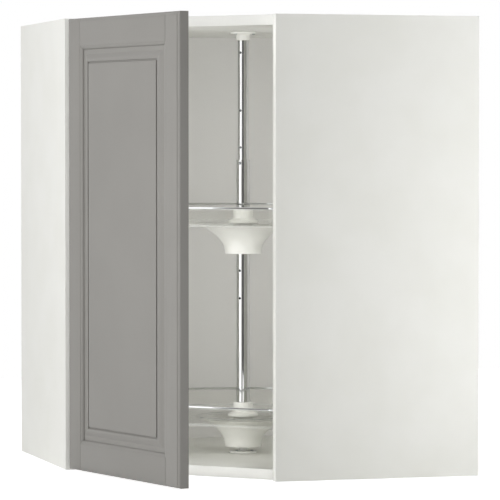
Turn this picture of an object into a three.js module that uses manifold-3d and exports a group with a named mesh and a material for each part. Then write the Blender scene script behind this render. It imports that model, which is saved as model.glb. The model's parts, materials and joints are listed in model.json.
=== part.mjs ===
// A diagonal corner wall cabinet with a framed door and a two-tray carousel.
//
// Lengths are in millimetres and angles in degrees. +Z is up. The origin is on the carousel's axis,
// at the underside of the bottom board. One wall of the room lies on -X, the other on +Y, and the
// door closes the diagonal between the side boards, facing +X and -Y. The carcass is its own mirror
// image across the vertical plane through the room corner and the axis.

import * as THREE from 'three';
import { mergeVertices } from 'three/addons/utils/BufferGeometryUtils.js';
import Module from 'manifold-3d';

const wasm = await Module();
wasm.setup();

const radians = (degrees) => THREE.MathUtils.degToRad(degrees);

// ---- Driving dimensions -------------------------------------------------------------------------

// Clearances
const seatGap = 0.3;             // between pieces that rest on or fill each other
const runningGap = 0.4;          // round a tube in its guide
const edgeEase = 0.8;            // bevel that breaks the edges of small moulded and turned pieces

// Carcass boards
const carcassHeight = 800;
const wallLength = 668;          // room corner to the outer face of either side board
const sideDepth = 368;           // wall to a side board's front edge
const boardThickness = 18;
const deckSetback = 18;          // front edges of top and bottom boards behind those of the sides
const axisToWall = 328;          // carousel axis to either wall

// Back boards, slid into grooves, and the batten that takes both in the corner
const backThickness = 3;
const backInset = 14;            // wall to the rear face of a back board
const backTongue = 6;            // how far a back board enters its grooves
const battenSize = 30;
const battenChamfer = 12;

// Dowels between the side boards and the top and bottom boards
const dowelRadius = 4;
const dowelInSide = 10;
const dowelInDeck = 20;
const dowelFromFront = 40;       // behind the front edge of the top or bottom board
const dowelFromWall = 60;

// Suspension hooks in the top rear corners
const hookThickness = 12;
const hookBody = { length: 48, height: 40, below: 22, bevel: 8, holeRadius: 5 };
const hookTongue = { height: 7, nose: 4 };
const hookDrop = 20;             // length of the downturned nose behind the back board
const hookWall = 2;              // nose to the room's wall

// Door
const doorWidth = 395;
const doorHeight = 795;
const doorThickness = 19;
const doorLift = 3.5;            // door's lower edge above the underside of the bottom board
const doorDrop = 1.5;            // top of the carcass above the door's upper edge
const doorGap = 1.9;             // closed door to the side boards' front corners
const doorMargin = 14.6;         // door's hinge edge to the left board's outer front corner
const doorOpen = 30.25;          // how far the door stands open here
const doorTravel = 105;          // from closed to its stop
const frontBearing = 45;         // the closed door's run, hinge edge to free edge, from +X

// Door frame: outer edge moulding, inner quarter round, groove for the panel
const stileFace = 46;
const railFace = 48.5;
const edgeRound = { width: 6, depth: 4.5, step: 0.8 };
const innerRound = { width: 6.5, depth: 5, step: 0.6 };
const jointGroove = 0.9;         // half width of the V line between stile and rail
const panelGroove = { front: 5.9, back: 12.5, reach: 5 };
const tenonInset = 12;           // tenons to the rails' outer edges

// Raised and fielded panel
const panelThickness = 14;
const moulding = 31.5;           // frame face to the raised field
const bevelWidth = 12;
const bevel = { low: 5.2, high: 1.4 };
const quirk = { width: 2.6, shelf: 3.2, depth: 3.4 };

// Concealed hinges, one turning pin each
const hingeInset = 100;          // cup centre from the door's lower and upper edges
const pinInset = 20;             // pin to the door's hinge edge
const pinDepth = 7;              // pin to the door's back face
const pinRadius = 2;
const pinLength = 24;
const cupInset = 21;             // cup centre to the door's hinge edge
const cupRadius = 17.5;
const cupDepth = 12;
const cupFloor = 1;
const cupPocket = { halfLength: 14, halfHeight: 8 };
const cupFlange = { radius: 19.5, thickness: 1.5 };
const cupEar = { halfWidth: 7, reach: 30, screwAt: 24 };
const armThickness = 4;
const armHeight = 13;
const armRadius = 29;            // middle of the curved neck, round the pin
const armNeckEnd = 150;          // direction in which the neck turns into the straight part
const armEye = 3.5;
const plateFromFront = 37;       // plate's screw line behind the side board's front edge
const plateWing = { width: 18, height: 52, thickness: 2 };
const plateBlock = { front: 23, back: 25 };
const plateScrewPitch = 32;
const plateScrew = { radius: 2.5, length: 12, headRadius: 3.9, headHeight: 1.8 };
const cupScrew = { radius: 1.8, length: 11, headRadius: 3.6, headHeight: 1.6 };
const armScrew = { radius: 3, length: 12, headRadius: 4.6, headHeight: 2.2 };

// Carousel pole
const poleFoot = 31;             // lower end above the underside of the bottom board
const outerTube = { radius: 12.5, bore: 10.4, top: 550 };
const innerTube = { radius: 10, bore: 8.6, bottom: 470 };
const tubeHole = 2.2;            // radius of the adjusting holes
const innerHoleDrops = [33, 137.5, 204];   // below the inner tube's upper end
const spareHoleRises = [200, 250];         // above the lower hub's cross pin
const lockDrop = 6;              // lock pin below the outer tube's end
const lockPin = { radius: 2, inner: 8.9, outer: 14.4 };

// Bearings at the pole's two ends
const topBearing = { flange: 24, flangeHeight: 4, boss: 12.3, drop: 16, socket: 11, fillet: 2 };
const bottomBearing = { flange: 25, flangeHeight: 3.7, spigot: 8, rise: 27.7, fillet: 1.5 };
const bearingScrew = { radius: 2, count: 3 };
const footPlugRoof = 5.7;        // plug's solid end above its bore

// Trays: round, with a flat front, an upright rim and a wire rail on the rim
const trayTops = [84.5, 434.5];  // upper faces of the two tray floors
const trayRadius = 262;          // middle of the rim
const trayFlat = 200.5;          // axis to the middle of the flat front rim
const trayCorner = 50;
const trayFloor = 3;
const trayRim = 2.5;
const trayFillet = 4;
const railRise = 31.5;           // rail's centre above the tray's floor
const railRadius = 2.5;
const trayRing = { radius: 85, width: 3, height: 1.6 };

// Hub under each tray, and its collar above
const hub = { depth: 54.5, mouth: 80, foot: 33.5, wall: 2.2, floor: 3, flare: 2.4 };
const collar = { radius: 17.7, rise: 26, flange: 27, flangeRise: 9, flangeEdge: 5, wall: 2 };
const collarFlutes = { count: 24, depth: 0.8 };
const crossPin = { radius: 2, halfLength: 15.2, rise: 14.8 };    // rise above the tray's floor

// ---- Places that follow from them -----------------------------------------------------------------

const wallX = -axisToWall;
const wallY = axisToWall;
const sideOuter = wallLength - axisToWall;           // outer face of the right board, on X
const sideInner = sideOuter - boardThickness;
const sideFront = sideDepth - axisToWall;            // front edge of the left board, on X
const deckEdge = sideInner - seatGap;
const deckFront = sideFront - deckSetback;
const ceiling = carcassHeight - boardThickness;
const deckMiddles = [boardThickness / 2, carcassHeight - boardThickness / 2];
const dowelPlaces = { front: deckFront - dowelFromFront, rear: wallX + dowelFromWall };
const hookTop = ceiling - hookBody.below;
const hookNose = hookTop - (hookBody.height + hookTongue.height) / 2;

const diagonal = Math.SQRT1_2;
const frontLine = (sideOuter + sideFront) * diagonal;    // axis to the side boards' front corners
const frontHalf = (sideOuter - sideFront) * diagonal;    // half the way between those corners
const pinAlong = doorMargin + pinInset - frontHalf;
const pinOut = frontLine + doorGap + pinDepth;
const hingeX = (pinAlong + pinOut) * diagonal;
const hingeY = (pinAlong - pinOut) * diagonal;
// Both hinges keep within the height that door and carcass share.
const hungHeight = Math.min(doorHeight, carcassHeight - doorDrop - doorLift);
const hingeHeights = [hingeInset, hungHeight - hingeInset];
const pinY = doorThickness - pinDepth;               // pin behind the door's front face
const armStart = frontBearing + 90 - doorTravel / 2;     // neck leads straight in at mid swing
const armBarY = hingeY + armRadius * Math.sin(radians(armNeckEnd));
const plateTop = armBarY - armThickness / 2 - seatGap;
const plateX = sideFront - plateFromFront;

const trayUnder = trayFloor + seatGap;
const hubHeight = hub.depth - trayUnder;
const tubeGuide = outerTube.radius + runningGap;
const innerTop = ceiling - seatGap - topBearing.drop + topBearing.socket - seatGap;

// ---- Materials ------------------------------------------------------------------------------------

function finish(color, roughness, metalness = 0, opacity = 1) {
  const transparent = opacity < 1;
  const values = { color, roughness, metalness, opacity, transparent, flatShading: true };
  return new THREE.MeshStandardMaterial(values);
}

const whiteFoil = finish('#f1f1ec', 0.5);
const greyLacquer = finish('#a3a19c', 0.45);
const beech = finish('#d6b98c', 0.7);
const zincSteel = finish('#b9bcbe', 0.4, 0.9);
const nickelSteel = finish('#c4c5c6', 0.3, 1);
const chrome = finish('#dcdee0', 0.08, 1);
const whitePlastic = finish('#f2f1ec', 0.4);
const clearPlastic = finish('#dfe6e4', 0.05, 0, 0.3);

// ---- Closed solids, cuts and joins ----------------------------------------------------------------

function closed(source) {
  const bare = source.clone();
  for (const name of Object.keys(bare.attributes)) {
    if (name !== 'position') bare.deleteAttribute(name);
  }
  const merged = mergeVertices(bare, 1e-4);
  const corner = merged.index.array;
  const place = merged.attributes.position;
  const [a, b, c] = [new THREE.Vector3(), new THREE.Vector3(), new THREE.Vector3()];
  const kept = [];
  let volume = 0;
  for (let i = 0; i < corner.length; i += 3) {
    const [p, q, r] = [corner[i], corner[i + 1], corner[i + 2]];
    if (p === q || q === r || r === p) continue;
    kept.push([p, q, r]);
    a.fromBufferAttribute(place, p);
    b.fromBufferAttribute(place, q);
    c.fromBufferAttribute(place, r);
    volume += a.dot(b.cross(c));
  }
  merged.setIndex(kept.flatMap(([p, q, r]) => (volume > 0 ? [p, q, r] : [p, r, q])));
  return merged;
}

function toManifold(geometry) {
  const whole = closed(geometry);
  return new wasm.Manifold(new wasm.Mesh({
    numProp: 3,
    vertProperties: new Float32Array(whole.attributes.position.array),
    triVerts: new Uint32Array(whole.index.array),
  }));
}

function toGeometry(manifold) {
  const { vertProperties, triVerts } = manifold.getMesh();
  const geometry = new THREE.BufferGeometry();
  geometry.setAttribute('position', new THREE.BufferAttribute(new Float32Array(vertProperties), 3));
  geometry.setIndex(Array.from(triVerts));
  return geometry;
}

function cut(body, ...tools) {
  return toGeometry(tools.reduce((left, tool) => left.subtract(toManifold(tool)), toManifold(body)));
}

function join(body, ...others) {
  return toGeometry(others.reduce((sum, other) => sum.add(toManifold(other)), toManifold(body)));
}

function common(body, ...others) {
  return toGeometry(others.reduce((left, other) => left.intersect(toManifold(other)), toManifold(body)));
}

// ---- Basic forms ----------------------------------------------------------------------------------

function shapeOf(points) {
  return new THREE.Shape(points.map(([x, y]) => new THREE.Vector2(x, y)));
}

// An outline drawn in X and Y, carried from one height to another.
function alongZ(shape, low, high, curveSegments = 12) {
  const options = { depth: high - low, bevelEnabled: false, curveSegments };
  return new THREE.ExtrudeGeometry(shape, options).translate(0, 0, low);
}

// An outline drawn in X and Z, carried along Y.
function alongY(shape, low, high, curveSegments = 12) {
  return alongZ(shape, -high, -low, curveSegments).rotateX(Math.PI / 2);
}

// An outline drawn in Y and Z, carried along X.
function alongX(shape, low, high, curveSegments = 12) {
  const turn = new THREE.Matrix4().set(0, 0, 1, 0, 1, 0, 0, 0, 0, 1, 0, 0, 0, 0, 0, 1);
  return alongZ(shape, low, high, curveSegments).applyMatrix4(turn);
}

function block([x0, x1], [y0, y1], [z0, z1]) {
  const middle = [(x0 + x1) / 2, (y0 + y1) / 2, (z0 + z1) / 2];
  return new THREE.BoxGeometry(x1 - x0, y1 - y0, z1 - z0).translate(...middle);
}

// A profile of [radius, height] points turned round the Z axis.
function turned(profile, segments = 28) {
  const points = profile.map(([r, z]) => new THREE.Vector2(r, z));
  return closed(new THREE.LatheGeometry(points, segments).rotateX(Math.PI / 2));
}

function rod(radius, low, high, segments = 20) {
  return turned([[0, low], [radius, low], [radius, high], [0, high]], segments);
}

// A pin about the origin, its ends bevelled.
function easedRod(radius, half, segments = 12) {
  const [tip, shoulder] = [radius - edgeEase, half - edgeEase];
  return turned([
    [0, -half], [tip, -half], [radius, -shoulder], [radius, shoulder], [tip, half], [0, half],
  ], segments);
}

const layAlongX = (geometry) => geometry.rotateY(Math.PI / 2);
const layAlongY = (geometry) => geometry.rotateX(-Math.PI / 2);

// The mirror image of a carcass piece, across the plane through the room corner and the axis.
function acrossDiagonal(geometry) {
  const swap = new THREE.Matrix4().set(0, -1, 0, 0, -1, 0, 0, 0, 0, 0, 1, 0, 0, 0, 0, 1);
  return closed(geometry.clone().applyMatrix4(swap));
}

function flipped(geometry, [x, y, z], centre) {
  const away = new THREE.Matrix4().makeTranslation(...centre);
  const back = away.clone().invert();
  const mirror = away.multiply(new THREE.Matrix4().makeScale(x, y, z)).multiply(back);
  return closed(geometry.clone().applyMatrix4(mirror));
}

function mesh(name, geometry, material) {
  const body = closed(geometry);
  body.computeVertexNormals();
  const part = new THREE.Mesh(body, material);
  part.name = name;
  return part;
}

// A screw whose head rests at height 0 and whose shank points down.
function screwForm({ radius, length, headRadius, headHeight }) {
  const point = radius * 0.6;
  return turned([
    [0, -length], [radius * 0.4, -length], [radius, point - length], [radius, 0], [headRadius, 0],
    [headRadius, headHeight * 0.5], [headRadius * 0.8, headHeight], [0, headHeight],
  ], 8);
}

// ---- Carcass --------------------------------------------------------------------------------------

const dowelHole = dowelRadius + 2 * seatGap;
const backSlot = [backInset - seatGap, backInset + backThickness + seatGap];

// Holes for the four dowels of the left side, drilled through the joint from both sides.
function dowelHoles() {
  const holes = [];
  for (const x of Object.values(dowelPlaces)) {
    for (const z of deckMiddles) {
      const [low, high] = [-sideInner - dowelInSide - 2 * seatGap, -deckEdge + dowelInDeck + 2 * seatGap];
      holes.push(layAlongY(rod(dowelHole, low, high, 10)).translate(x, 0, z));
    }
  }
  return holes;
}

function dowel() {
  const [low, high] = [-sideInner - dowelInSide, -deckEdge + dowelInDeck - seatGap];
  return layAlongY(easedRod(dowelRadius, (high - low) / 2, 10).translate(0, 0, (low + high) / 2));
}

function plateScrewPlaces() {
  const places = [];
  for (const height of hingeHeights) {
    for (const side of [-1, 1]) places.push(doorLift + height + side * plateScrewPitch / 2);
  }
  return places;
}

function leftSideBoard() {
  const blank = block([wallX, sideFront], [-sideOuter, -sideInner], [0, carcassHeight]);
  const slot = block(
    backSlot.map((inset) => wallX + inset),
    [-sideInner - backTongue - seatGap, -sideInner + 1],
    [boardThickness - backTongue - seatGap, ceiling + backTongue + seatGap],
  );
  return { blank, tools: [slot, ...dowelHoles()] };
}

function plateScrewHoles() {
  return plateScrewPlaces().map((z) => {
    const hole = rod(plateScrew.radius + 2 * seatGap, -sideInner - plateScrew.length, -sideInner + 1, 10);
    return layAlongY(hole).translate(plateX, 0, z);
  });
}

function deckOutline() {
  return shapeOf([
    [wallX, wallY], [wallX, -deckEdge], [deckFront, -deckEdge], [deckEdge, -deckFront], [deckEdge, wallY],
  ]);
}

// Grooves that take the back boards' edges, one under each wall.
function backSlots(low, high) {
  const across = backSlot.map((inset) => wallX + inset);
  const slot = block(across, [-sideOuter, wallY - battenSize / 2], [low, high]);
  return [slot, acrossDiagonal(slot)];
}

function deck(low, slotLow) {
  const holes = dowelHoles();
  const board = alongZ(deckOutline(), low, low + boardThickness);
  const slots = backSlots(slotLow, slotLow + 2 * (backTongue + seatGap));
  return cut(board, ...slots, ...holes, ...holes.map(acrossDiagonal));
}

function leftBackBoard() {
  const board = block(
    [wallX + backInset, wallX + backInset + backThickness],
    [-sideInner - backTongue, wallY - battenSize + backTongue],
    [boardThickness - backTongue, ceiling + backTongue],
  );
  const notch = block(
    [wallX, wallX + battenSize],
    [-sideOuter, -sideInner + hookThickness + 2 * seatGap],
    [hookNose - hookDrop - hookTongue.height, hookNose + hookTongue.height],
  );
  return cut(board, notch);
}

function cornerBatten() {
  const [x, y] = [wallX + battenSize, wallY - battenSize];
  const outline = shapeOf([
    [wallX, y], [x - battenChamfer, y], [x, y + battenChamfer], [x, wallY], [wallX, wallY],
  ]);
  const post = alongZ(outline, boardThickness + seatGap, ceiling - seatGap);
  const slot = block(
    backSlot.map((inset) => wallX + inset), [y - 1, y + backTongue + seatGap], [0, carcassHeight],
  );
  return cut(post, slot, acrossDiagonal(slot));
}

// Steel hook on the left board's inner face; its nose reaches behind the back board for a wall rail.
function leftHook() {
  const back = wallX + backInset + backThickness + 1;
  const front = back + hookBody.length;
  const [top, low] = [hookTop, hookTop - hookBody.height];
  const [tongueTop, tongueLow] = [hookNose + hookTongue.height / 2, hookNose - hookTongue.height / 2];
  const [nose, noseRear] = [wallX + hookWall, wallX + hookWall + hookTongue.nose];
  const { bevel: corner, holeRadius } = hookBody;
  const outline = shapeOf([
    [back, low], [front - corner, low], [front, low + corner], [front, top], [back, top], [back, tongueTop],
    [nose, tongueTop], [nose, tongueTop - hookDrop], [noseRear, tongueTop - hookDrop],
    [noseRear, tongueLow], [back, tongueLow],
  ]);
  const holeX = back + hookBody.length * 0.6;
  outline.holes.push(new THREE.Path().absarc(holeX, (top + low) / 2, holeRadius, 0, 2 * Math.PI));
  const face = -sideInner + seatGap;
  return alongY(outline, face, face + hookThickness, 8);
}

function carcass() {
  const group = new THREE.Group();
  const side = leftSideBoard();
  const plain = cut(side.blank, ...side.tools);
  group.add(mesh('side_board_left', cut(plain, ...plateScrewHoles()), whiteFoil));
  group.add(mesh('side_board_right', acrossDiagonal(plain), whiteFoil));
  group.add(mesh('bottom_board', deck(0, boardThickness - backTongue - seatGap), whiteFoil));
  group.add(mesh('top_board', deck(ceiling, ceiling - backTongue - seatGap), whiteFoil));
  group.add(mesh('back_board_left', leftBackBoard(), whiteFoil));
  group.add(mesh('back_board_right', acrossDiagonal(leftBackBoard()), whiteFoil));
  group.add(mesh('corner_batten', cornerBatten(), whiteFoil));
  group.add(mesh('suspension_hook_left', leftHook(), zincSteel));
  group.add(mesh('suspension_hook_right', acrossDiagonal(leftHook()), zincSteel));
  for (const [place, x] of Object.entries(dowelPlaces)) {
    for (const [level, z] of [['bottom', deckMiddles[0]], ['top', deckMiddles[1]]]) {
      const peg = dowel().translate(x, 0, z);
      group.add(mesh(`dowel_left_${level}_${place}`, peg, beech));
      group.add(mesh(`dowel_right_${level}_${place}`, acrossDiagonal(peg), beech));
    }
  }
  return group;
}

// ---- Door: X from the hinge edge, Y from the front face into the cabinet, Z from the lower edge ------

// The front of a board's moulded edge: [distance from the edge, depth] points, edge first.
function moulded({ width, depth, step }, steps = 4) {
  const points = [];
  for (let i = 0; i <= steps; i += 1) {
    const turn = (i / steps) * (Math.PI / 2);
    points.push([width * (1 - Math.cos(turn)), step + (depth - step) * (1 - Math.sin(turn))]);
  }
  return [...points, [width, 0]];
}

// Section of a stile or rail: moulded outer edge, flat face, quarter round, groove for the panel.
function frameSection(face) {
  const tip = face + innerRound.width;
  const root = face - panelGroove.reach;
  return [
    [0, doorThickness], ...moulded(edgeRound),
    ...moulded(innerRound).reverse().map(([inward, depth]) => [tip - inward, depth]),
    [tip, panelGroove.front], [root, panelGroove.front], [root, panelGroove.back], [tip, panelGroove.back],
    [tip, doorThickness],
  ];
}

const swapped = (points) => points.map(([x, y]) => [y, x]);

// Stiles and rails part along the rail's end and along a mitre through the quarter round.
function jointLines() {
  const [half, top] = [jointGroove, doorHeight - railFace];
  const vee = shapeOf([
    [stileFace - half, -1], [stileFace - half, 0], [stileFace, half], [stileFace + half, 0],
    [stileFace + half, -1],
  ]);
  return [alongZ(vee, -1, railFace), alongZ(vee, top, doorHeight + 1)];
}

function leftStile() {
  const inner = stileFace + innerRound.width;
  const low = railFace;
  const high = doorHeight - railFace;
  const outline = shapeOf([
    [0, 0], [stileFace, 0], [stileFace, low], [inner, low + innerRound.width],
    [inner, high - innerRound.width], [stileFace, high], [stileFace, doorHeight], [0, doorHeight],
  ]);
  const ends = moulded(edgeRound);
  const blank = swapped([
    [0, doorThickness], ...ends, ...ends.map(([z, y]) => [doorHeight - z, y]).reverse(),
    [doorHeight, doorThickness],
  ]);
  const bar = alongZ(shapeOf(frameSection(stileFace)), 0, doorHeight);
  const whole = common(bar, alongY(outline, -1, doorThickness + 1), alongX(shapeOf(blank), -1, inner + 1));
  return cut(whole, ...jointLines());
}

function bottomRail() {
  const left = stileFace + runningGap;
  const right = doorWidth - left;
  const round = innerRound.width;
  const outline = shapeOf([
    [left, 0], [right, 0], [right, railFace], [right - round, railFace + round],
    [left + round, railFace + round], [left, railFace],
  ]);
  const bar = alongX(shapeOf(swapped(frameSection(railFace))), left, right);
  const whole = common(bar, alongY(outline, -1, doorThickness + 1));
  const reach = panelGroove.reach - runningGap;
  const tenons = block(
    [stileFace - reach, doorWidth - stileFace + reach],
    [panelGroove.front + seatGap, panelGroove.back - seatGap],
    [tenonInset, railFace - panelGroove.reach - 1],
  );
  const [vee] = jointLines();
  return cut(join(whole, tenons), vee, flipped(vee, [-1, 1, 1], [doorWidth / 2, 0, 0]));
}

// Section across the panel, from its middle out to the frame faces on both sides.
function fieldedSection(half) {
  const tip = half + panelGroove.reach - 2 * seatGap;
  const clear = half - innerRound.width - seatGap;
  const foot = half - moulding + quirk.shelf + bevelWidth;
  const shelf = half - moulding + quirk.shelf;
  const field = half - moulding;
  const [front, back] = [panelGroove.front + seatGap, panelGroove.back - seatGap];
  const right = [
    [field, 0], [field, bevel.high], [shelf, bevel.high], [foot, bevel.low], [clear, bevel.low],
    [clear, front], [tip, front], [tip, back], [clear, back], [clear, panelThickness],
  ];
  return [...right, ...right.map(([x, y]) => [-x, y]).reverse()];
}

function centrePanel() {
  const [x, z] = [doorWidth / 2, doorHeight / 2];
  const across = fieldedSection(x - stileFace);
  const upward = fieldedSection(z - railFace);
  const wide = alongZ(shapeOf(across), 0, doorHeight).translate(x, 0, 0);
  const tall = alongX(shapeOf(swapped(upward)), 0, doorWidth).translate(0, 0, z);
  const [halfX, halfZ] = [x - stileFace - moulding, z - railFace - moulding];
  const ring = (grow) => shapeOf([
    [x - halfX - grow, z - halfZ - grow], [x + halfX + grow, z - halfZ - grow],
    [x + halfX + grow, z + halfZ + grow], [x - halfX - grow, z + halfZ + grow],
  ]);
  const outer = ring(quirk.width);
  outer.holes.push(ring(0));
  return cut(common(wide, tall), alongY(outer, -1, quirk.depth));
}

function cupHoles(height) {
  const floor = doorThickness - cupDepth - seatGap;
  const bore = layAlongY(rod(cupRadius + seatGap, floor, doorThickness + 1, 24));
  const holes = [bore.translate(cupInset, 0, height)];
  for (const side of [-1, 1]) {
    const low = doorThickness - cupScrew.length + 1;
    const hole = layAlongY(rod(cupScrew.radius + 2 * seatGap, low, doorThickness + 1, 10));
    holes.push(hole.translate(cupInset, 0, height + side * cupEar.screwAt));
  }
  return holes;
}

function door() {
  const frame = new THREE.Group();
  frame.position.set(-pinInset, -pinY, 0);
  const stile = leftStile();
  const rail = bottomRail();
  const middle = [doorWidth / 2, 0, doorHeight / 2];
  frame.add(mesh('door_stile_left', cut(stile, ...hingeHeights.flatMap(cupHoles)), greyLacquer));
  frame.add(mesh('door_stile_right', flipped(stile, [-1, 1, 1], middle), greyLacquer));
  frame.add(mesh('door_rail_bottom', rail, greyLacquer));
  frame.add(mesh('door_rail_top', flipped(rail, [1, 1, -1], middle), greyLacquer));
  frame.add(mesh('door_panel', centrePanel(), greyLacquer));
  for (const [index, level] of ['lower', 'upper'].entries()) {
    const height = hingeHeights[index];
    frame.add(mesh(`hinge_cup_${level}`, hingeCup().translate(cupInset, 0, height), nickelSteel));
    frame.add(mesh(`hinge_pin_${level}`, hingePin().translate(pinInset, pinY, height), nickelSteel));
    for (const [side, way] of [['a', -1], ['b', 1]]) {
      const seat = doorThickness + 2 * seatGap + cupFlange.thickness;
      const screw = layAlongY(screwForm(cupScrew)).translate(cupInset, seat, height + way * cupEar.screwAt);
      frame.add(mesh(`cup_screw_${level}_${side}`, screw, nickelSteel));
    }
  }
  const leaf = new THREE.Group();
  leaf.add(frame);
  leaf.position.set(hingeX, hingeY, doorLift);
  leaf.rotation.z = radians(frontBearing - doorOpen);
  return leaf;
}

// ---- Hinges ---------------------------------------------------------------------------------------

// Round cup let into the stile, with a flange and two screw ears on the door's back face.
function hingeCup() {
  const [face, floor] = [doorThickness + seatGap, doorThickness - cupDepth];
  const rim = face + cupFlange.thickness;
  const { halfLength, halfHeight } = cupPocket;
  const across = cupFlange.radius + 1;
  const ears = new THREE.Shape();
  const straight = cupEar.reach - cupEar.halfWidth;
  ears.absarc(0, straight, cupEar.halfWidth, 0, Math.PI);
  ears.absarc(0, -straight, cupEar.halfWidth, Math.PI, 2 * Math.PI);
  for (const side of [-1, 1]) {
    const hole = [0, side * cupEar.screwAt, cupScrew.radius + 2 * seatGap];
    ears.holes.push(new THREE.Path().absarc(...hole, 0, 2 * Math.PI));
  }
  const body = join(
    layAlongY(rod(cupRadius, floor, rim, 24)),
    layAlongY(rod(cupFlange.radius, face, rim, 24)),
    alongY(ears, face, rim, 5),
  );
  const pinHole = rod(pinRadius + seatGap, -pinLength / 2 - seatGap, pinLength / 2 + seatGap, 12);
  return cut(
    body,
    block([-halfLength, halfLength], [floor + cupFloor, rim + 1], [-halfHeight, halfHeight]),
    block([-across, across], [doorThickness, rim + 1], [-halfHeight, halfHeight]),
    pinHole.translate(pinInset - cupInset, pinY, 0),
  );
}

function hingePin() {
  return easedRod(pinRadius, pinLength / 2);
}

// Both edges of a band of even thickness whose middle follows the given points.
function bandOutline(middle, thickness) {
  const edge = (side) => middle.map((point, i) => {
    const before = middle[Math.max(i - 1, 0)];
    const after = middle[Math.min(i + 1, middle.length - 1)];
    const along = after.clone().sub(before).normalize();
    return [point.x - side * along.y * thickness / 2, point.y + side * along.x * thickness / 2];
  });
  return shapeOf([...edge(1), ...edge(-1).reverse()]);
}

// Fixed arm: an eye on the pin, a neck curved round the door's edge, a bar along the side board.
function hingeArm() {
  const middle = [new THREE.Vector2(0, 0)];
  const steps = 12;
  for (let i = 0; i <= steps; i += 1) {
    const turn = radians(armStart + (armNeckEnd - armStart) * (i / steps));
    middle.push(new THREE.Vector2(Math.cos(turn), Math.sin(turn)).multiplyScalar(armRadius));
  }
  const barEnd = plateX - plateBlock.back - hingeX;
  middle.push(new THREE.Vector2(barEnd, armBarY - hingeY));
  const [low, high] = [-armHeight / 2, armHeight / 2];
  const band = join(alongZ(bandOutline(middle, armThickness), low, high), rod(armEye, low, high, 16));
  const screwHole = layAlongY(rod(armScrew.radius + 2 * seatGap, -armThickness, armThickness, 10));
  return cut(
    band,
    rod(pinRadius + seatGap, low - 1, high + 1, 12),
    screwHole.translate(plateX - hingeX, armBarY - hingeY, 0),
  );
}

// Cross-shaped plate on the side board: two screwed wings and a block that carries the arm.
function mountingPlate() {
  const face = -sideInner + seatGap;
  const wing = block(
    [-plateWing.width / 2, plateWing.width / 2], [face, face + plateWing.thickness],
    [-plateWing.height / 2, plateWing.height / 2],
  );
  const { front, back } = plateBlock;
  const carrier = block([-back, front], [face, plateTop], [-armHeight / 2, armHeight / 2]);
  const holes = [-1, 1].map((side) => {
    const hole = rod(plateScrew.radius + 2 * seatGap, face - 1, face + plateWing.thickness + 1, 10);
    return layAlongY(hole).translate(0, 0, side * plateScrewPitch / 2);
  });
  const threadRadius = armScrew.radius + 2 * seatGap;
  const thread = layAlongY(rod(threadRadius, plateTop - armScrew.length, plateTop + 1, 10));
  return cut(join(wing, carrier), thread, ...holes);
}

function hinges() {
  const group = new THREE.Group();
  for (const [index, level] of ['lower', 'upper'].entries()) {
    const height = doorLift + hingeHeights[index];
    group.add(mesh(`hinge_arm_${level}`, hingeArm().translate(hingeX, hingeY, height), nickelSteel));
    group.add(mesh(`hinge_plate_${level}`, mountingPlate().translate(plateX, 0, height), nickelSteel));
    const armSeat = armBarY + armThickness / 2 + seatGap;
    const armFixing = layAlongY(screwForm(armScrew)).translate(plateX, armSeat, height);
    group.add(mesh(`arm_screw_${level}`, armFixing, nickelSteel));
    for (const [side, way] of [['a', -1], ['b', 1]]) {
      const seat = -sideInner + plateWing.thickness + 2 * seatGap;
      const screwHeight = height + way * plateScrewPitch / 2;
      const screw = layAlongY(screwForm(plateScrew)).translate(plateX, seat, screwHeight);
      group.add(mesh(`plate_screw_${level}_${side}`, screw, nickelSteel));
    }
  }
  return group;
}

// ---- Bearings fixed to the top and bottom boards ---------------------------------------------------

function screwCircle(radius, low, high) {
  const holes = [];
  for (let i = 0; i < bearingScrew.count; i += 1) {
    const turn = (i + 0.5) * (2 * Math.PI / bearingScrew.count);
    const hole = rod(bearingScrew.radius, low, high, 8);
    holes.push(hole.translate(radius * Math.cos(turn), radius * Math.sin(turn), 0));
  }
  return holes;
}

function topBearingForm() {
  const { flange, flangeHeight, boss, drop, socket, fillet } = topBearing;
  const top = ceiling - seatGap;
  const [under, foot] = [top - flangeHeight, top - drop];
  const bore = innerTube.radius + seatGap;
  const form = turned([
    [0, foot + socket], [bore, foot + socket], [bore, foot], [boss - edgeEase, foot],
    [boss, foot + edgeEase], [boss, under - fillet], [boss + fillet, under], [flange - edgeEase, under],
    [flange, under + edgeEase], [flange, top], [0, top],
  ]);
  return cut(form, ...screwCircle((flange + boss + fillet) / 2, under - 1, top + 1));
}

function bottomBearingForm() {
  const { flange, flangeHeight, spigot, rise, fillet } = bottomBearing;
  const low = boardThickness + seatGap;
  const [deckTop, tip] = [low + flangeHeight, low + rise];
  const form = turned([
    [0, low], [flange, low], [flange, deckTop - edgeEase], [flange - fillet, deckTop],
    [spigot + fillet, deckTop], [spigot, deckTop + fillet], [spigot, tip - fillet], [spigot - fillet, tip],
    [0, tip],
  ]);
  return cut(form, ...screwCircle((flange + spigot) / 2, low - 1, deckTop + 1));
}

// ---- Carousel: X towards the flat front, turned to face the door -----------------------------------

// The tray's outline as points, grown outwards from the middle of the rim.
function trayPoints(grow) {
  const [radius, flat, corner] = [trayRadius + grow, trayFlat + grow, trayCorner + grow];
  const x = flat - corner;
  const y = Math.sqrt((radius - corner) ** 2 - x ** 2);
  const turn = Math.atan2(y, x);
  const points = [];
  const arc = (middleX, middleY, size, from, to, steps) => {
    for (let i = 0; i <= steps; i += 1) {
      const way = from + (to - from) * (i / steps);
      points.push([middleX + size * Math.cos(way), middleY + size * Math.sin(way)]);
    }
  };
  arc(x, y, corner, 0, turn, 4);
  arc(0, 0, radius, turn, 2 * Math.PI - turn, 46);
  arc(x, -y, corner, -turn, 0, 4);
  const apart = ([x0, y0], [x1, y1]) => Math.hypot(x1 - x0, y1 - y0) > 0.1;
  return points.filter((point, i) => i === 0 || apart(point, points[i - 1]));
}

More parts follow.
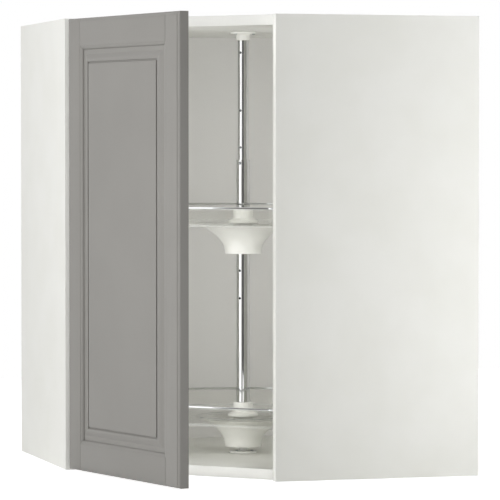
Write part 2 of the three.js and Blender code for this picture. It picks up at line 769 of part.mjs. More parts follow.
// A tray-shaped slab whose lower edge is rounded.
function roundedSlab(grow, fillet, low, high) {
  const options = {
    depth: high - low, bevelEnabled: true, bevelThickness: fillet, bevelSize: fillet, bevelOffset: -fillet,
    bevelSegments: 2,
  };
  const slab = new THREE.ExtrudeGeometry(shapeOf(trayPoints(grow)), options).translate(0, 0, low + fillet);
  const reach = 2 * trayRadius;
  return common(slab, block([-reach, reach], [-reach, reach], [low - 1, high]));
}

function tray() {
  const rimTop = railRise - railRadius - seatGap;
  const shell = roundedSlab(trayRim / 2, trayFillet, -trayFloor, rimTop);
  const hollow = roundedSlab(-trayRim / 2, trayFillet - trayRim / 2, 0, rimTop + trayFillet);
  const { radius, width, height } = trayRing;
  const ring = turned([
    [radius - width / 2, -1], [radius + width / 2, -1], [radius + width / 2, height - 0.6],
    [radius, height], [radius - width / 2, height - 0.6], [radius - width / 2, -1],
  ]);
  const shape = join(cut(shell, hollow), ring);
  return cut(shape, rod(collar.radius + 2 * seatGap, -trayFloor - 1, 1, 24));
}

// A round wire closed on itself along the tray's outline.
function trayRail() {
  const sides = 6;
  const path = trayPoints(0).map(([x, y]) => new THREE.Vector2(x, y));
  const count = path.length;
  const places = [];
  const faces = [];
  path.forEach((point, i) => {
    const along = path[(i + 1) % count].clone().sub(path[(i + count - 1) % count]).normalize();
    for (let k = 0; k < sides; k += 1) {
      const turn = (k + 0.5) * (2 * Math.PI / sides);
      const out = railRadius * Math.cos(turn);
      places.push(point.x + along.y * out, point.y - along.x * out, railRise + railRadius * Math.sin(turn));
      const [here, next] = [i * sides + k, ((i + 1) % count) * sides + k];
      const [hereUp, nextUp] = [i * sides + (k + 1) % sides, ((i + 1) % count) * sides + (k + 1) % sides];
      faces.push(here, next, nextUp, here, nextUp, hereUp);
    }
  });
  const wire = new THREE.BufferGeometry();
  wire.setAttribute('position', new THREE.Float32BufferAttribute(places, 3));
  wire.setIndex(faces);
  return wire;
}

// Trumpet-shaped hub, hollow, open towards the tray, with a floor round the pole.
function hubForm() {
  const rise = hubHeight;
  const radiusAt = (z) => hub.foot + (hub.mouth - hub.foot) * (z / rise) ** hub.flare;
  const steps = 10;
  const outer = [];
  const inner = [];
  for (let i = 0; i <= steps; i += 1) {
    const z = rise * (i / steps);
    const lean = (radiusAt(z + 0.01) - radiusAt(z)) / 0.01;
    const unit = hub.wall / Math.hypot(1, lean);
    outer.push([radiusAt(z), z]);
    const inside = [radiusAt(z) - unit, z + unit * lean];
    if (i % 2 && inside[1] > hub.floor + 0.5 && inside[1] < rise - 0.5) inner.push(inside);
  }
  const [mouthRadius, footRadius] = [inner[inner.length - 1][0] + 2, inner[0][0] - 0.3];
  const profile = [
    [tubeGuide, 0], ...outer, [mouthRadius, rise], ...inner.reverse(), [footRadius, hub.floor],
    [tubeGuide, hub.floor], [tubeGuide, 0],
  ];
  return turned(profile).translate(0, 0, -hub.depth);
}

// Collar: a sleeve down to the hub's floor, a flange on the tray, a fluted grip above it.
function collarForm() {
  const { radius, rise, flange, flangeRise, flangeEdge, wall } = collar;
  const foot = hub.floor + seatGap - hub.depth;
  const sleeve = turned([
    [tubeGuide, foot], [radius, foot], [radius, seatGap], [flange - edgeEase, seatGap],
    [flange, seatGap + edgeEase], [flange, flangeEdge], [radius + wall, flangeRise],
    [radius - wall, flangeRise], [radius - wall, rise], [tubeGuide, rise], [tubeGuide, foot],
  ]);
  const grip = new THREE.Shape();
  const points = collarFlutes.count * 2;
  for (let i = 0; i < points; i += 1) {
    const turn = (i / points) * 2 * Math.PI;
    const reach = radius - (i % 2) * collarFlutes.depth;
    grip[i ? 'lineTo' : 'moveTo'](reach * Math.cos(turn), reach * Math.sin(turn));
  }
  grip.closePath();
  grip.holes.push(new THREE.Path().absarc(0, 0, (tubeGuide + radius - wall) / 2, 0, 2 * Math.PI));
  const [wide, pinTop] = [crossPin.halfLength + seatGap, crossPin.rise + crossPin.radius + seatGap];
  const halfSlot = crossPin.radius + seatGap;
  const slot = block([-wide, wide], [-halfSlot, halfSlot], [foot - 1, pinTop]);
  return cut(join(sleeve, alongZ(grip, flangeRise - wall, rise, 10)), slot);
}

function lockHole() {
  const hole = layAlongX(rod(lockPin.radius + 2 * seatGap, 0, outerTube.radius + 1, 8));
  return hole.translate(0, 0, outerTube.top - lockDrop);
}

const crossHole = (z, reach) => layAlongX(rod(tubeHole, -reach, reach, 8)).translate(0, 0, z);

function poleOuterTube() {
  const { radius, bore, top } = outerTube;
  const tube = turned([
    [bore, poleFoot], [radius, poleFoot], [radius, top - edgeEase], [radius - edgeEase, top], [bore, top],
    [bore, poleFoot],
  ], 24);
  const pins = trayTops.map((z) => z + crossPin.rise);
  const levels = [...pins, ...spareHoleRises.map((rise) => pins[0] + rise)];
  const holes = levels.map((z) => crossHole(z, radius + 1));
  return cut(tube, ...holes, lockHole());
}

function poleInnerTube() {
  const { radius, bore, bottom } = innerTube;
  const tube = turned([
    [bore, bottom], [radius, bottom], [radius, innerTop], [bore, innerTop], [bore, bottom],
  ], 24);
  const holes = innerHoleDrops.map((drop) => crossHole(innerTop - drop, radius + 1));
  return cut(tube, ...holes, lockHole());
}

function lockPinForm() {
  const { radius, inner, outer } = lockPin;
  const button = turned([
    [0, inner], [radius, inner], [radius, outer - edgeEase], [radius - edgeEase, outer], [0, outer],
  ], 12);
  return layAlongX(button).translate(0, 0, outerTube.top - lockDrop);
}

// Plug in the pole's foot, with a blind bore that turns on the bottom bearing's spigot.
function footPlugForm() {
  const radius = outerTube.bore - seatGap;
  const bore = bottomBearing.spigot + seatGap;
  const roof = boardThickness + bottomBearing.rise + 2 * seatGap;
  const top = roof + footPlugRoof;
  return turned([
    [0, roof], [bore, roof], [bore, poleFoot], [radius, poleFoot], [radius, top - edgeEase],
    [radius - edgeEase, top], [0, top],
  ], 32);
}

function crossPinForm() {
  return layAlongX(easedRod(crossPin.radius, crossPin.halfLength)).translate(0, 0, crossPin.rise);
}

function carousel() {
  const group = new THREE.Group();
  group.add(mesh('pole_outer_tube', poleOuterTube(), chrome));
  group.add(mesh('pole_inner_tube', poleInnerTube(), chrome));
  group.add(mesh('pole_lock_pin', lockPinForm(), zincSteel));
  group.add(mesh('pole_foot_plug', footPlugForm(), whitePlastic));
  for (const [index, level] of ['lower', 'upper'].entries()) {
    const height = trayTops[index];
    group.add(mesh(`tray_${level}`, tray().translate(0, 0, height), clearPlastic));
    group.add(mesh(`tray_rail_${level}`, trayRail().translate(0, 0, height), chrome));
    group.add(mesh(`tray_hub_${level}`, hubForm().translate(0, 0, height), whitePlastic));
    group.add(mesh(`hub_collar_${level}`, collarForm().translate(0, 0, height), whitePlastic));
    group.add(mesh(`hub_pin_${level}`, crossPinForm().translate(0, 0, height), zincSteel));
  }
  group.rotation.z = radians(frontBearing - 90);
  return group;
}

// ---- The whole cabinet ------------------------------------------------------------------------------

const cabinet = new THREE.Group();
cabinet.add(carcass(), hinges(), door(), carousel());
cabinet.add(mesh('top_bearing', topBearingForm(), whitePlastic));
cabinet.add(mesh('bottom_bearing', bottomBearingForm(), whitePlastic));

export default cabinet;
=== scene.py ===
"""A diagonal corner wall cabinet with a framed door and a two-tray carousel, dressed round its
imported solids. Lengths in the tables below are in millimetres; Blender's own are in metres."""

import json
import math

import bmesh
import bpy
from mathutils import Matrix, Vector

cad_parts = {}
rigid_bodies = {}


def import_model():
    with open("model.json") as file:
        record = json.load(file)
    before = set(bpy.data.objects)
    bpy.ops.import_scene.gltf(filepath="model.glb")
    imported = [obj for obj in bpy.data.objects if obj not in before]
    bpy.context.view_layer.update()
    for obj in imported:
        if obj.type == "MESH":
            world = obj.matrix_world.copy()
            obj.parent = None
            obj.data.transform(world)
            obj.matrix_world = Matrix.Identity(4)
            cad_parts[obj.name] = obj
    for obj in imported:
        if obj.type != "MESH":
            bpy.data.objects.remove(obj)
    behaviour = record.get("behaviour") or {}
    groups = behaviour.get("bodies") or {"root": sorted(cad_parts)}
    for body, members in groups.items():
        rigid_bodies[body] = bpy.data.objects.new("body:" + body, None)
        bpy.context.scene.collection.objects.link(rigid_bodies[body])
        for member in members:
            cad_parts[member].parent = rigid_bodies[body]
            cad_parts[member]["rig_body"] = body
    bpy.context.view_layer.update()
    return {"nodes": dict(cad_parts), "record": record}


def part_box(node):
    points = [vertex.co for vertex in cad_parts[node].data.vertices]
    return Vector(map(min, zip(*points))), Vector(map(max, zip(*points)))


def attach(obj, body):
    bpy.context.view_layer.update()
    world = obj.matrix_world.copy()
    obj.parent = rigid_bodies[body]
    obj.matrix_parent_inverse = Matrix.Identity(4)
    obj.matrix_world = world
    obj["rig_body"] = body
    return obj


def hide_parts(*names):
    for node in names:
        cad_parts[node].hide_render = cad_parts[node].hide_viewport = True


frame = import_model()
nodes = frame["nodes"]

MM = 0.001

# ---- Camera ------------------------------------------------------------------------------------

CAMERA_PLACE = (5.52466, -1.60188, 0.56688)
CAMERA_TURN = 73.707  # degrees round +Z; at 0 the camera would look along +Y
CAMERA_DIP = 1.797  # degrees below the horizon
CAMERA_LENS, CAMERA_SENSOR = 228.44, 36  # mm
CAMERA_REACH = 60  # m

camera_data = bpy.data.cameras.new("camera")
camera_data.lens = CAMERA_LENS
camera_data.sensor_width = CAMERA_SENSOR
camera_data.clip_end = CAMERA_REACH
camera = bpy.data.objects.new("camera", camera_data)
camera.location = CAMERA_PLACE
camera.rotation_euler = (math.radians(90 - CAMERA_DIP), 0, math.radians(CAMERA_TURN))
bpy.context.scene.collection.objects.link(camera)
bpy.context.scene.camera = camera

# ---- Materials ---------------------------------------------------------------------------------


def linear(code):
    """A hex sRGB colour as the linear values that a shader takes."""
    parts = [int(code[i : i + 2], 16) / 255 for i in (1, 3, 5)]
    return [p / 12.92 if p <= 0.04045 else ((p + 0.055) / 1.055) ** 2.4 for p in parts] + [1]


def add(tree, kind, values=None, links=None, **settings):
    """Adds one node: settings are its own, values go to its sockets, links come into them."""
    made = tree.nodes.new(kind)
    for name, value in settings.items():
        setattr(made, name, value)
    for name, value in (values or {}).items():
        made.inputs[name].default_value = value
    for name, source in (links or {}).items():
        tree.links.new(source, made.inputs[name])
    return made


def material(name):
    """An empty material, its node tree, and its output."""
    made = bpy.data.materials.new(name)
    made.use_nodes = True
    tree = made.node_tree
    tree.nodes.clear()
    return made, tree, add(tree, "ShaderNodeOutputMaterial")


def coated(made, tree, out, values, links):
    """A material finished with the one shader that an opaque surface needs."""
    coat = add(tree, "ShaderNodeBsdfPrincipled", values, links)
    tree.links.new(coat.outputs[0], out.inputs[0])
    return made


NOISE_SPAN = (0.3, 0.7)  # where most of a noise's values lie
CLOUD_SPAN = (0.35, 0.65)  # a narrower part of them, for slow drifts of colour


def grain(tree, size_mm, stretch=(1, 1, 1), detail=2):
    """Noise whose blotches are about size_mm across, drawn in the object's own space."""
    place = add(tree, "ShaderNodeTexCoord").outputs["Object"]
    scale = [1 / (size_mm * MM * s) for s in stretch]
    mapped = add(tree, "ShaderNodeMapping", {"Scale": scale}, {"Vector": place}).outputs[0]
    noise = add(tree, "ShaderNodeTexNoise", {"Scale": 1, "Detail": detail}, {"Vector": mapped})
    return noise.outputs["Fac"]


def cells(tree, size_mm, randomness=1):
    """The outputs of cells about size_mm across, drawn in the object's own space."""
    place = add(tree, "ShaderNodeTexCoord").outputs["Object"]
    values = {"Scale": 1 / (size_mm * MM), "Randomness": randomness}
    return add(tree, "ShaderNodeTexVoronoi", values, {"Vector": place}).outputs


def ramp(tree, source, low, high, out_low, out_high):
    """Source carried from one range to another."""
    values = {"From Min": low, "From Max": high, "To Min": out_low, "To Max": out_high}
    return add(tree, "ShaderNodeMapRange", values, {"Value": source}).outputs[0]


def tint(tree, source, low, high):
    """A colour between two hex colours, by a value from 0 to 1."""
    blend = add(tree, "ShaderNodeMix", None, {"Factor": source}, data_type="RGBA")
    blend.inputs[6].default_value = linear(low)
    blend.inputs[7].default_value = linear(high)
    return blend.outputs[2]


def bump(tree, source, height_mm, strength=1):
    """A surface normal, raised by source."""
    values = {"Strength": strength, "Distance": height_mm * MM}
    return add(tree, "ShaderNodeBump", values, {"Height": source}).outputs[0]


def melamine_foil():
    """Particleboard faced with white melamine foil under a fine-matt press plate: an even, very
    faintly pearled white with a broad soft sheen."""
    made, tree, out = material("melamine_foil_white")
    pearl = grain(tree, 1.2, detail=3)
    cloud = grain(tree, 90)
    colour = tint(tree, ramp(tree, cloud, *CLOUD_SPAN, 0, 1), "#F0F0EA", "#F3F3EE")
    return coated(made, tree, out, {"IOR": 1.5}, {
        "Base Color": colour,
        "Roughness": ramp(tree, pearl, *NOISE_SPAN, 0.42, 0.5),
        "Normal": bump(tree, pearl, 0.03, 0.25),
    })


def abs_edging():
    """White ABS edge band, extruded and scraped flush: a shade glossier than the foil, with faint
    lines along its length."""
    made, tree, out = material("abs_edging_white")
    lines = grain(tree, 0.8, (1, 1, 60))
    return coated(made, tree, out, {"IOR": 1.52}, {
        "Base Color": tint(tree, lines, "#F0F0EB", "#F4F4F0"),
        "Roughness": ramp(tree, lines, *NOISE_SPAN, 0.3, 0.4),
        "Normal": bump(tree, lines, 0.02, 0.3),
    })


def raw_particleboard():
    """Sawn particleboard: pressed wood flakes of 1 to 4 mm, open and dry."""
    made, tree, out = material("particleboard_raw")
    flakes = cells(tree, 2.4)
    shade = add(tree, "ShaderNodeSeparateColor", None, {"Color": flakes["Color"]}).outputs[0]
    return coated(made, tree, out, {"Roughness": 0.9, "IOR": 1.45}, {
        "Base Color": tint(tree, shade, "#A98A5E", "#D9C39A"),
        "Normal": bump(tree, flakes["Distance"], 0.4, 0.6),
    })


def lacquered_hardboard():
    """Hardboard rolled with white lacquer: a thin even film, slightly eggshell over the fibres."""
    made, tree, out = material("hardboard_white")
    fibres = grain(tree, 2.5, detail=4)
    return coated(made, tree, out, {"IOR": 1.48}, {
        "Base Color": tint(tree, fibres, "#F0EFED", "#F3F2F0"),
        "Roughness": ramp(tree, fibres, *NOISE_SPAN, 0.45, 0.55),
        "Normal": bump(tree, fibres, 0.05, 0.25),
    })


def bare_hardboard():
    """The bare side of the hardboard: brown pressed fibre with the weave of the press screen."""
    made, tree, out = material("hardboard_bare")
    screen = cells(tree, 1.6, randomness=0.35)
    fibres = grain(tree, 8, detail=5)
    return coated(made, tree, out, {"Roughness": 0.8, "IOR": 1.45}, {
        "Base Color": tint(tree, fibres, "#6E4F33", "#8D6B48"),
        "Normal": bump(tree, screen["Distance"], 0.3, 0.5),
    })


# The lacquer's painted shade in its grooves: how far to look for enclosing faces, and the open
# share over which the shade fades.
GROOVE_REACH = 9  # how far from a point other faces still count as sides of a groove
GROOVE_SPAN = (0.35, 0.9)  # the open share round a point: deep in a groove, and out on a flat


def grey_lacquer():
    """Fibreboard sprayed with warm grey satin lacquer: even colour, a slow orange peel that only
    shows in the sheen, and mouldings kept crisp. The matting agent leaves little gloss. The
    grooves are painted darker the more other faces enclose them: painted shade, not a deeper coat."""
    made, tree, out = material("lacquer_warm_grey")
    peel = grain(tree, 3.5, detail=2)
    drift = grain(tree, 160)
    colour = tint(tree, ramp(tree, drift, *CLOUD_SPAN, 0, 1), "#908E8A", "#93918D")
    # Painted shade: the colour is darkened towards #82807C where other faces close round the
    # surface, as in a groove.
    air = add(tree, "ShaderNodeAmbientOcclusion", {"Distance": GROOVE_REACH * MM}, samples=8)
    painted_groove_shade = add(tree, "ShaderNodeMix", {6: linear("#82807C")}, {
        0: ramp(tree, air.outputs["AO"], *GROOVE_SPAN, 0, 1), 7: colour,
    }, data_type="RGBA")
    return coated(made, tree, out, {"IOR": 1.5, "Specular IOR Level": 0.2}, {
        "Base Color": painted_groove_shade.outputs[2],
        "Roughness": ramp(tree, peel, *NOISE_SPAN, 0.42, 0.48),
        "Normal": bump(tree, peel, 0.04, 0.2),
    })


def chrome_plate():
    """Steel polished and chrome plated: a clean mirror, hazed a little by marks along the tube."""
    made, tree, out = material("chrome_plate")
    marks = grain(tree, 0.5, (1, 1, 40), 3)
    return coated(made, tree, out, {"Metallic": 1}, {
        "Base Color": tint(tree, marks, "#DFE0E1", "#E9EAEB"),
        "Roughness": ramp(tree, marks, *NOISE_SPAN, 0.02, 0.05),
    })


def nickel_plate():
    """Pressed steel, barrelled and nickel plated: warm silver with a satin tumble finish."""
    made, tree, out = material("nickel_plate")
    tumble = grain(tree, 1.5, detail=4)
    return coated(made, tree, out, {"Metallic": 1}, {
        "Base Color": tint(tree, tumble, "#BDBAB3", "#CFCCC6"),
        "Roughness": ramp(tree, tumble, *NOISE_SPAN, 0.22, 0.36),
        "Normal": bump(tree, tumble, 0.02, 0.3),
    })


def zinc_plate():
    """Stamped steel with bright zinc plating: cooler, with faint spangles 4 mm across."""
    made, tree, out = material("zinc_plate")
    spangles = cells(tree, 4)
    shade = add(tree, "ShaderNodeSeparateColor", None, {"Color": spangles["Color"]}).outputs[0]
    return coated(made, tree, out, {"Metallic": 1}, {
        "Base Color": tint(tree, shade, "#AEB3B6", "#C3C7C9"),
        "Roughness": ramp(tree, shade, 0, 1, 0.3, 0.45),
        "Normal": bump(tree, grain(tree, 1.2), 0.02, 0.3),
    })


def moulded_abs():
    """Injection-moulded white ABS: soft satin from a lightly spark-eroded mould."""
    made, tree, out = material("abs_moulded_white")
    erosion = grain(tree, 0.6, detail=2)
    return coated(made, tree, out, {"IOR": 1.52, "Coat Weight": 0.2, "Coat Roughness": 0.25}, {
        "Base Color": tint(tree, grain(tree, 30), "#F0F0EA", "#F3F3EE"),
        "Roughness": ramp(tree, erosion, *NOISE_SPAN, 0.32, 0.42),
        "Normal": bump(tree, erosion, 0.02, 0.3),
    })


STYRENE_IOR = 1.57
HEAD_ON = 0.04  # about what the Fresnel node gives when a face is met head on
GRAZING_SHARE = 0.2  # what a face hides when seen along it


def clear_styrene(name, facing, gloss):
    """Clear moulded styrene with walls of 2.5 to 3 mm: seen through almost without a trace, with a
    mirror that grows towards grazing sight. Facing is the share that hides what is behind it when
    met head on: next to nothing in a wall, more in a turned edge, where the light that runs along
    inside the wall comes out. Light passes it unshadowed."""
    made, tree, out = material(name)
    flow = grain(tree, 45, detail=1)
    fresnel = add(tree, "ShaderNodeFresnel", {"IOR": STYRENE_IOR}).outputs[0]
    share = ramp(tree, fresnel, HEAD_ON, 1, facing, GRAZING_SHARE)
    shadow = add(tree, "ShaderNodeLightPath").outputs["Is Shadow Ray"]
    lit = add(tree, "ShaderNodeMath", {0: 1}, {1: shadow}, operation="SUBTRACT")
    hidden = add(tree, "ShaderNodeMath", None, {0: share, 1: lit.outputs[0]}, operation="MULTIPLY")
    through = add(tree, "ShaderNodeBsdfTransparent", {"Color": linear("#FFFFFE")})
    surface = add(tree, "ShaderNodeBsdfPrincipled", {
        "Base Color": linear("#F2F3F1"), "Metallic": gloss, "IOR": STYRENE_IOR,
    }, {"Roughness": ramp(tree, flow, *NOISE_SPAN, 0.03, 0.07)})
    both = add(tree, "ShaderNodeMixShader", None, {
        0: hidden.outputs[0], 1: through.outputs[0], 2: surface.outputs[0],
    })
    tree.links.new(both.outputs[0], out.inputs[0])
    return made


def beech():
    """Turned beech: pinkish straw with short dark ray flecks along the grain."""
    made, tree, out = material("beech_turned")
    flecks = grain(tree, 1.1, (1, 9, 1), 3)
    return coated(made, tree, out, {"Roughness": 0.65, "IOR": 1.45}, {
        "Base Color": tint(tree, flecks, "#B98F62", "#DDBB8C"),
        "Normal": bump(tree, flecks, 0.05, 0.4),
    })


FOIL, EDGING, CHIP = melamine_foil(), abs_edging(), raw_particleboard()
BACK_FACE, BACK_REAR = lacquered_hardboard(), bare_hardboard()
LACQUER, CHROME, NICKEL, ZINC = grey_lacquer(), chrome_plate(), nickel_plate(), zinc_plate()
MOULDED, BEECH = moulded_abs(), beech()
CLEAR = clear_styrene("styrene_wall", 0.01, 0.9)
CLEAR_EDGE = clear_styrene("styrene_edge", 0.2, 0.1)

FINISH = {
    "white_board": FOIL, "grey_door": LACQUER, "dowel_beech": BEECH, "zinc_steel": ZINC,
    "nickel_steel": NICKEL, "chrome_plate": CHROME, "clear_plastic": CLEAR,
    "white_plastic": MOULDED,
}
for part in frame["record"]["subparts"]:
    node = nodes[part["node"]]
    node.data.materials.clear()
    node.data.materials.append(FINISH[part["material_slot"]])

# ---- Mesh tools: all sizes in millimetres ------------------------------------------------------

CRISP = math.radians(25)  # edges that turn by more than this stay sharp in the shading
FLAT = math.radians(0.5)  # faces that turn by less than this are one face
CORNER = math.radians(35)  # edges that turn by more than this are broken
WELD = 0.005  # points nearer than this are one point
FILLET_SHARE = 0.45  # the most of a side that a fillet takes
SQUARE = ((-1, -1), (1, -1), (1, 1), (-1, 1))
# Faces of a four-sided prism: its lower outline is points 0 to 3, its upper one 4 to 7.
PRISM = [(0, 1, 2, 3), (4, 5, 6, 7)]
PRISM += [(k, (k + 1) % 4, (k + 1) % 4 + 4, k + 4) for k in range(4)]


def shaded(mesh, angle=CRISP):
    """A mesh shaded smooth, and sharp where it turns by more than an angle."""
    for face in mesh.polygons:
        face.use_smooth = True
    mesh.set_sharp_from_angle(angle=angle)
    return mesh


def piece(name, mesh, body, slot, *materials, angle=CRISP):
    """Puts a mesh in the scene as a piece that rides on a body."""
    made = bpy.data.objects.new(name, shaded(mesh, angle))
    for coat in materials:
        mesh.materials.append(coat)
    bpy.context.scene.collection.objects.link(made)
    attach(made, body)
    return made


def mesh_of(name, points, faces):
    """A mesh from points in millimetres, its faces turned outwards."""
    made = bpy.data.meshes.new(name)
    made.from_pydata([[c * MM for c in point] for point in points], [], faces)
    work = bmesh.new()
    work.from_mesh(made)
    bmesh.ops.recalc_face_normals(work, faces=work.faces)
    work.to_mesh(made)
    work.free()
    return made


def softened(node, ease, slot, *materials, pick=None):
    """A CAD piece again, with its edges broken by a radius; pick gives a face its material."""
    work = bmesh.new()
    work.from_mesh(nodes[node].data)
    bmesh.ops.remove_doubles(work, verts=work.verts, dist=WELD * MM)
    bmesh.ops.dissolve_limit(work, angle_limit=FLAT, verts=work.verts, edges=work.edges)
    if pick:
        for face in work.faces:
            face.material_index = pick(face.normal, face.calc_center_median() / MM)
    edges = [e for e in work.edges if len(e.link_faces) == 2 and e.calc_face_angle() > CORNER]
    bmesh.ops.bevel(work, geom=edges, offset=ease * MM, segments=2, profile=0.5, affect="EDGES",
                    clamp_overlap=True, material=-1)
    made = bpy.data.meshes.new(f"{node}_finished")
    work.to_mesh(made)
    work.free()
    finished = piece(f"{node}_finished", made, nodes[node]["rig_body"], slot, *materials)
    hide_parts(node)


def filleted(points, radius, steps=3, closed=True):
    """An outline with every corner rounded, or with its two ends left as they are."""
    rounded = []
    for i, point in enumerate(points):
        if not closed and i in (0, len(points) - 1):
            rounded.append(tuple(point))
            continue
        before, corner, after = (Vector(points[k % len(points)]) for k in (i - 1, i, i + 1))
        shorter = min((before - corner).length, (after - corner).length)
        reach = min(radius, shorter * FILLET_SHARE)
        start = corner + (before - corner).normalized() * reach
        end = corner + (after - corner).normalized() * reach
        for k in range(steps + 1):
            t = k / steps
            rounded.append(tuple((1 - t) ** 2 * start + 2 * t * (1 - t) * corner + t * t * end))
    return rounded


def bridged(loops, closed_profile):
    """Faces between loops of equally many points, each loop closed on itself."""
    count = len(loops[0])
    points = [point for loop in loops for point in loop]
    faces = []
    pairs = len(loops) if closed_profile else len(loops) - 1
    for i in range(pairs):
        j = (i + 1) % len(loops)
        for k in range(count):
            m = (k + 1) % count
            faces.append((i * count + k, i * count + m, j * count + m, j * count + k))
    return points, faces


def lathe(name, profile, segments=96):
    """A [radius, height] profile turned round Z: closed on itself, or from axis to axis."""
    turns = [2 * math.pi * k / segments for k in range(segments)]
    on_axis = profile[0][0] == 0
    inner = [point for point in profile if point[0] > 0]
    loops = [[(r * math.cos(t), r * math.sin(t), z) for t in turns] for r, z in inner]
    points, faces = bridged(loops, not on_axis)
    if on_axis:
        ends = (0, len(loops) - 1)
        for end, (_, z) in zip(ends, (profile[0], profile[-1])):
            points.append((0, 0, z))
            hub_point = len(points) - 1
            faces += [(hub_point, end * segments + k, end * segments + (k + 1) % segments)
                      for k in range(segments)]
    return mesh_of(name, points, faces)


def placed(mesh, place, direction=(0, 0, 1)):
    """A mesh moved so that its origin is at place (mm) and its Z axis points along direction."""
    turn = Vector((0, 0, 1)).rotation_difference(Vector(direction)).to_matrix().to_4x4()
    mesh.transform(Matrix.Translation(Vector(place) * MM) @ turn)
    return mesh


def drilled(target, cutters):
    """Cuts the cutter meshes out of a piece and drops them."""
    for cutter in cutters:
        tool = bpy.data.objects.new("drill", cutter)
        bpy.context.scene.collection.objects.link(tool)
        step = target.modifiers.new("drill", "BOOLEAN")
        step.object, step.operation, step.solver = tool, "DIFFERENCE", "EXACT"
        graph = bpy.context.evaluated_depsgraph_get()
        result = bpy.data.meshes.new_from_object(target.evaluated_get(graph))
        target.modifiers.remove(step)
        bpy.data.objects.remove(tool)
        target.data = result
    shaded(target.data)


def rod(radius, low, high, segments=24):
    """A round rod along Z."""
    return lathe("rod", [(0, low), (radius, low), (radius, high), (0, high)], segments)


# ---- Carcass -----------------------------------------------------------------------------------

WALL = 328  # axis to either wall
FRONT = 40  # side boards' front edges
OUTER, INNER = 340, 322  # side boards' two faces
DECK_EDGE, DECK_FRONT = 321.7, 22  # ends of the top and bottom boards' slanting front
HEIGHT, BOARD = 800, 18
STRAIGHT = 0.9  # a normal's least share along an axis, for its face to be turned that way


def sawn_rear(normal, centre):
    """1 for the edges that face a wall and were left raw, 0 elsewhere."""
    left = normal.x < -STRAIGHT and centre.x < 1 - WALL
    right = normal.y > STRAIGHT and centre.y > WALL - 1
    return int(left or right)


def wall_side(normal, centre):
    """1 for the faces turned to a wall, 0 elsewhere."""
    return int(normal.x < -STRAIGHT or normal.y > STRAIGHT)


for board in ("side_board_left", "side_board_right", "bottom_board", "top_board"):
    softened(board, 0.4, "white_board", FOIL, CHIP, pick=sawn_rear)
softened("corner_batten", 0.8, "white_board", FOIL, CHIP, pick=sawn_rear)
for board in ("back_board_left", "back_board_right"):
    softened(board, 0.2, "white_board", BACK_FACE, BACK_REAR, pick=wall_side)

BAND, BAND_EASE = 0.6, 0.25  # edge bands: thickness, and radius of their edges


def edge_band(name, corners, low, high):
    """A band over a board's front edge: its plan outline, carried from low to high."""
    mesh = mesh_of(name, [(x, y, z) for z in (low, high) for x, y in corners], PRISM)
    work = bmesh.new()
    work.from_mesh(mesh)
    bmesh.ops.bevel(work, geom=work.edges[:], offset=BAND_EASE * MM, segments=2, profile=0.5,
                    affect="EDGES")
    work.to_mesh(mesh)
    work.free()
    piece(name, mesh, "cabinet", "white_board", EDGING)


side_band = [(FRONT, -OUTER), (FRONT + BAND, -OUTER), (FRONT + BAND, -INNER), (FRONT, -INNER)]
edge_band("edge_band_side_left", side_band, 0, HEIGHT)
edge_band("edge_band_side_right", [(-y, -x) for x, y in side_band], 0, HEIGHT)
slant = BAND * math.sqrt(2)  # the band's thickness, measured along the side board's face
deck_band = [(DECK_FRONT, -DECK_EDGE), (DECK_FRONT + slant, -DECK_EDGE),
             (DECK_EDGE, -DECK_FRONT - slant), (DECK_EDGE, -DECK_FRONT)]
edge_band("edge_band_bottom", deck_band, 0, BOARD)
edge_band("edge_band_top", deck_band, HEIGHT - BOARD, HEIGHT)

for side in ("left", "right"):
    softened(f"suspension_hook_{side}", 0.6, "zinc_steel", ZINC)

# ---- Screws ------------------------------------------------------------------------------------

# Radius and height of the head, length and radius of the shank, slot, finish.
SCREWS = {
    "cup": (3.6, 1.6, 11, 1.8, "nickel_steel", NICKEL),
    "plate": (3.9, 1.8, 12, 2.5, "nickel_steel", NICKEL),
    "arm": (4.6, 2.2, 12, 3, "nickel_steel", NICKEL),
    "bearing": (3, 1.4, 3, 1.5, "zinc_steel", ZINC),
}
# The cross recess: its reach as a share of the head's radius, the width of an arm as a share of
# that reach, its depth as a share of the head's height.
CROSS_REACH, CROSS_WIDTH, CROSS_DEPTH = 0.55, 0.26, 0.6


def screw(name, kind, place, direction, body):
    """A pan-head screw with a cross recess, its head resting at place."""
    head, rise, length, shank, slot, finish = SCREWS[kind]
    cap = [(0, -length), (shank * 0.4, -length), (shank, 1 - length), (shank, 0), (head, 0),
           (head, rise * 0.45), (head * 0.72, rise), (0, rise)]
    mesh = lathe(name, filleted(cap, 0.35, 2, closed=False), 32)
    made = piece(name, mesh, body, slot, finish)
    wide, deep = head * CROSS_REACH, rise * CROSS_DEPTH
    for long_x, long_y in ((wide, wide * CROSS_WIDTH), (wide * CROSS_WIDTH, wide)):
        box = [(x * long_x, y * long_y, rise + z) for z in (-deep, 0.5) for x, y in SQUARE]
        drilled(made, [mesh_of("recess", box, PRISM)])
    placed(made.data, place, direction)
    return made


# ---- Door --------------------------------------------------------------------------------------

DOOR_HINGE = (70.7592, -321.8274)  # the pins' axis
DOOR_TURN = math.radians(14.75)  # the door's run, hinge edge to free edge, from +X
PIN_INSET, PIN_BACK = 20, 12  # pins' axis from the hinge edge and behind the front face
LIFT = 3.5  # the door's lower edge above the cabinet's underside
DOOR = {"width": 395, "height": 795, "thickness": 19}


def on_door(along, back, up):
    """A place on the door, from its hinge edge, front face and lower edge, in the frame's axes."""
    x, y = along - PIN_INSET, back - PIN_BACK
    return (DOOR_HINGE[0] + x * math.cos(DOOR_TURN) - y * math.sin(DOOR_TURN),
            DOOR_HINGE[1] + x * math.sin(DOOR_TURN) + y * math.cos(DOOR_TURN), LIFT + up)


DOOR_BACKWARD = (-math.sin(DOOR_TURN), math.cos(DOOR_TURN), 0)
for part in ("door_stile_left", "door_stile_right", "door_rail_bottom", "door_rail_top"):
    softened(part, 0.15, "grey_door", LACQUER)

STILE, RAIL = 46, 48.5  # flat faces of the frame

